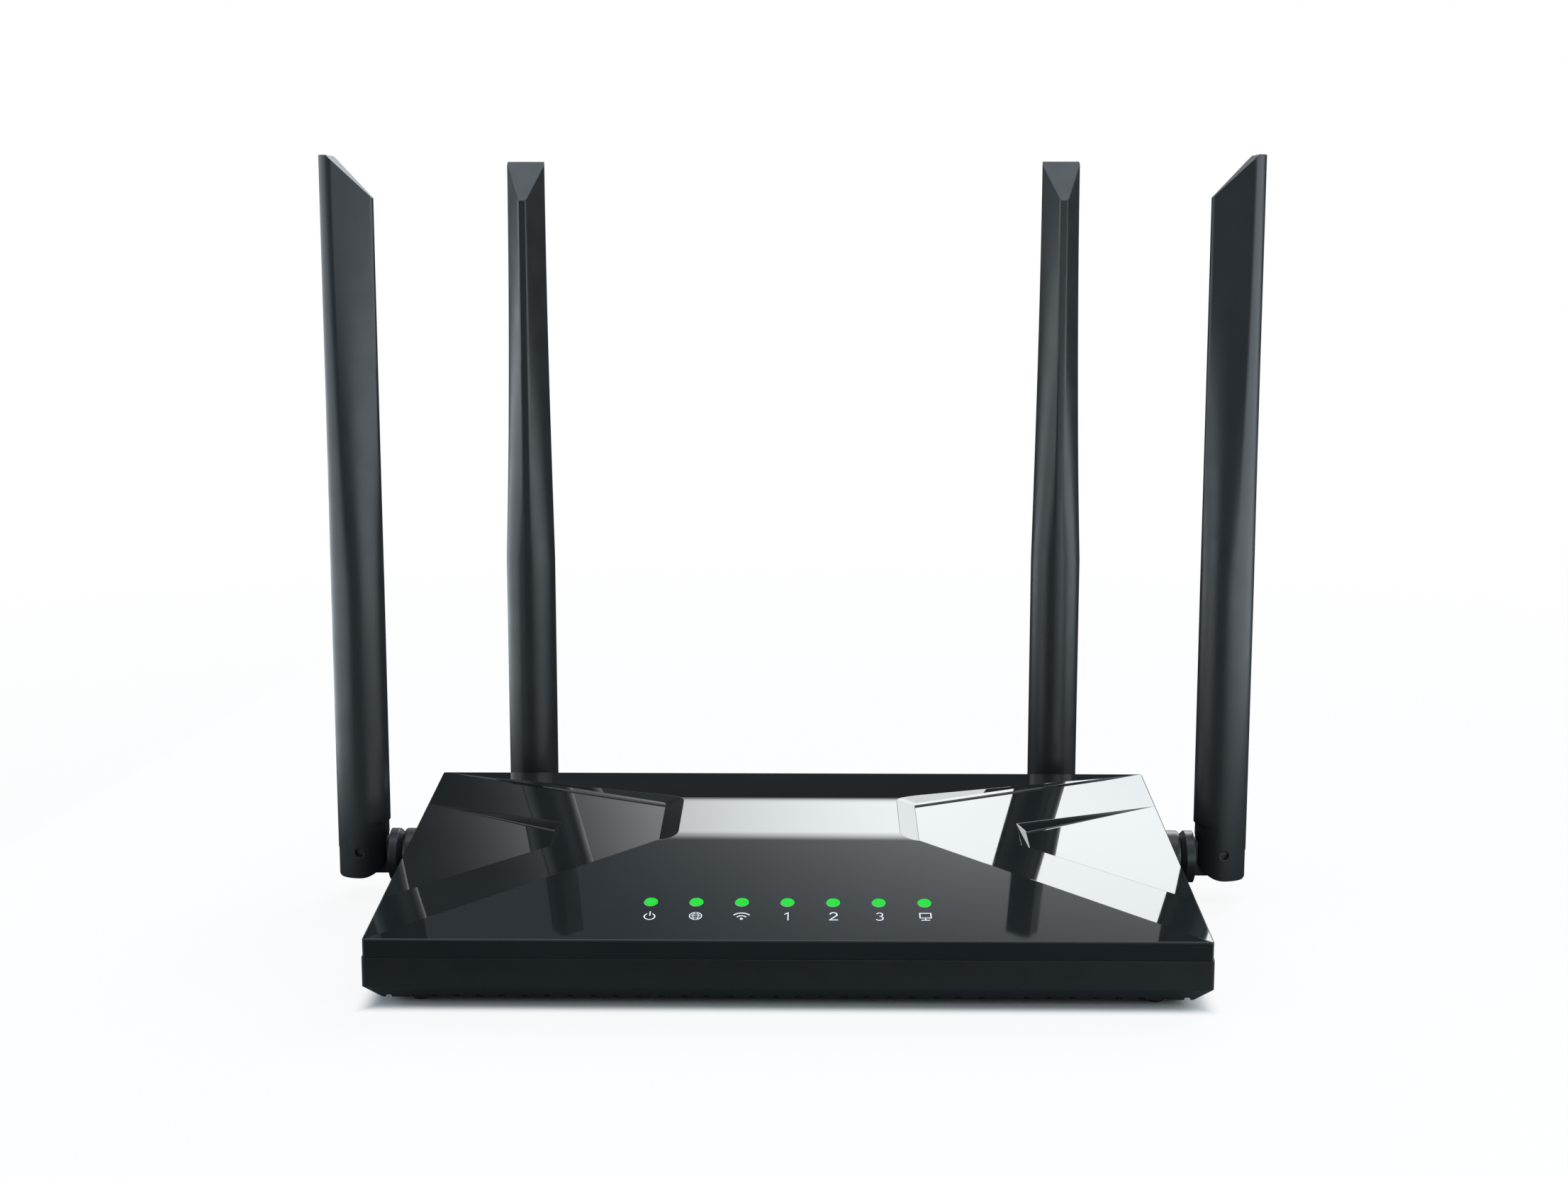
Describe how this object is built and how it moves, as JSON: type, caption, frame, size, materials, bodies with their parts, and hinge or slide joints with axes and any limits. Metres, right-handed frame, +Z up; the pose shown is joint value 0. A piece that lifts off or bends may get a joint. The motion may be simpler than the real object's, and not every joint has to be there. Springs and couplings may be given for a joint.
{
  "type": "wireless router",
  "caption": "Low wedge-shaped home wireless router with a faceted gloss cover, swivelling fold-down antennas, status lamps, and network and power sockets at the back.",
  "frame": {"origin": "middle of the box around the whole object, at table height", "axes": "+X to the right seen from the front, +Y from the front edge to the back, +Z up"},
  "size_m": [0.2284, 0.1336, 0.184],
  "materials": {
    "gloss_cover": "mirror gloss black",
    "case_plastic": "satin near-black",
    "antenna_plastic": "satin charcoal",
    "rubber": "matt black",
    "dark_steel": "blackened",
    "steel": "bright",
    "aluminium": "satin",
    "lit_guide": "lit green",
    "lamp_chip": "clear resin",
    "circuit_board": "green lacquer",
    "socket_plastic": "moulded black",
    "chip_plastic": "matt black",
    "button_plastic": "satin dark grey",
    "gilt_wire": "gilt",
    "lead_jacket": "smooth grey"
  },
  "bodies": {
    "housing": {"antenna_collar_rear_left": "antenna_plastic", "antenna_collar_rear_right": "antenna_plastic", "antenna_collar_side_left": "antenna_plastic", "antenna_collar_side_right": "antenna_plastic", "antenna_leads": "lead_jacket", "board_screws": "steel", "bottom_case": "case_plastic", "cable_plugs": "gilt_wire", "capacitors": "aluminium", "case_screws": "dark_steel", "flash_chip": "chip_plastic", "heat_sink": "aluminium", "lan_socket_1": "socket_plastic", "lan_socket_2": "socket_plastic", "lan_socket_3": "socket_plastic", "light_pipes": "lit_guide", "line_transformers": "chip_plastic", "main_board": "circuit_board", "memory_chip": "chip_plastic", "power_socket": "socket_plastic", "power_socket_pin": "gilt_wire", "processor": "chip_plastic", "rubber_feet": "rubber", "shield_cans": "steel", "socket_contacts": "gilt_wire", "status_lamps": "lamp_chip", "switch_body": "chip_plastic", "top_cover": "gloss_cover", "wan_socket": "socket_plastic"},
    "swivel_rear_left": {"knuckle_rear_left": "antenna_plastic", "retaining_clip_rear_left": "steel"},
    "antenna_rear_left": {"antenna_casing_rear_left": "antenna_plastic", "antenna_radiator_rear_left": "circuit_board", "hinge_pin_rear_left": "dark_steel"},
    "swivel_rear_right": {"knuckle_rear_right": "antenna_plastic", "retaining_clip_rear_right": "steel"},
    "antenna_rear_right": {"antenna_casing_rear_right": "antenna_plastic", "antenna_radiator_rear_right": "circuit_board", "hinge_pin_rear_right": "dark_steel"},
    "swivel_side_left": {"knuckle_side_left": "antenna_plastic", "retaining_clip_side_left": "steel"},
    "antenna_side_left": {"antenna_casing_side_left": "antenna_plastic", "antenna_radiator_side_left": "circuit_board", "hinge_pin_side_left": "dark_steel"},
    "swivel_side_right": {"knuckle_side_right": "antenna_plastic", "retaining_clip_side_right": "steel"},
    "antenna_side_right": {"antenna_casing_side_right": "antenna_plastic", "antenna_radiator_side_right": "circuit_board", "hinge_pin_side_right": "dark_steel"},
    "button": {"push_button": "button_plastic", "switch_stem": "button_plastic"}
  },
  "joints": [
    {"name": "swivel_rear_left", "type": "hinge", "parent": "housing", "child": "swivel_rear_left", "pos_m": [-0.0695, 0.06045, 0.01045], "axis": [0, -1, 0], "range_deg": [-20, 90]},
    {"name": "tilt_rear_left", "type": "hinge", "parent": "swivel_rear_left", "child": "antenna_rear_left", "pos_m": [-0.0695, 0.06045, 0.01235], "axis": [-1, 0, 0], "range_deg": [0, 90]},
    {"name": "swivel_rear_right", "type": "hinge", "parent": "housing", "child": "swivel_rear_right", "pos_m": [0.0695, 0.06045, 0.01045], "axis": [0, 1, 0], "range_deg": [-20, 90]},
    {"name": "tilt_rear_right", "type": "hinge", "parent": "swivel_rear_right", "child": "antenna_rear_right", "pos_m": [0.0695, 0.06045, 0.01235], "axis": [-1, 0, 0], "range_deg": [0, 90]},
    {"name": "swivel_side_left", "type": "hinge", "parent": "housing", "child": "swivel_side_left", "pos_m": [-0.10785, 0.02075, 0.01045], "axis": [1, 0, 0], "range_deg": [-8, 90]},
    {"name": "tilt_side_left", "type": "hinge", "parent": "swivel_side_left", "child": "antenna_side_left", "pos_m": [-0.10785, 0.02075, 0.01235], "axis": [0, -1, 0], "range_deg": [0, 90]},
    {"name": "swivel_side_right", "type": "hinge", "parent": "housing", "child": "swivel_side_right", "pos_m": [0.10785, 0.02075, 0.01045], "axis": [1, 0, 0], "range_deg": [-8, 90]},
    {"name": "tilt_side_right", "type": "hinge", "parent": "swivel_side_right", "child": "antenna_side_right", "pos_m": [0.10785, 0.02075, 0.01235], "axis": [0, 1, 0], "range_deg": [0, 90]},
    {"name": "button_press", "type": "slide", "parent": "housing", "child": "button", "axis": [0, -1, 0], "range_m": [0, 0.0006], "stiffness_N_per_m": 1500}
  ]
}
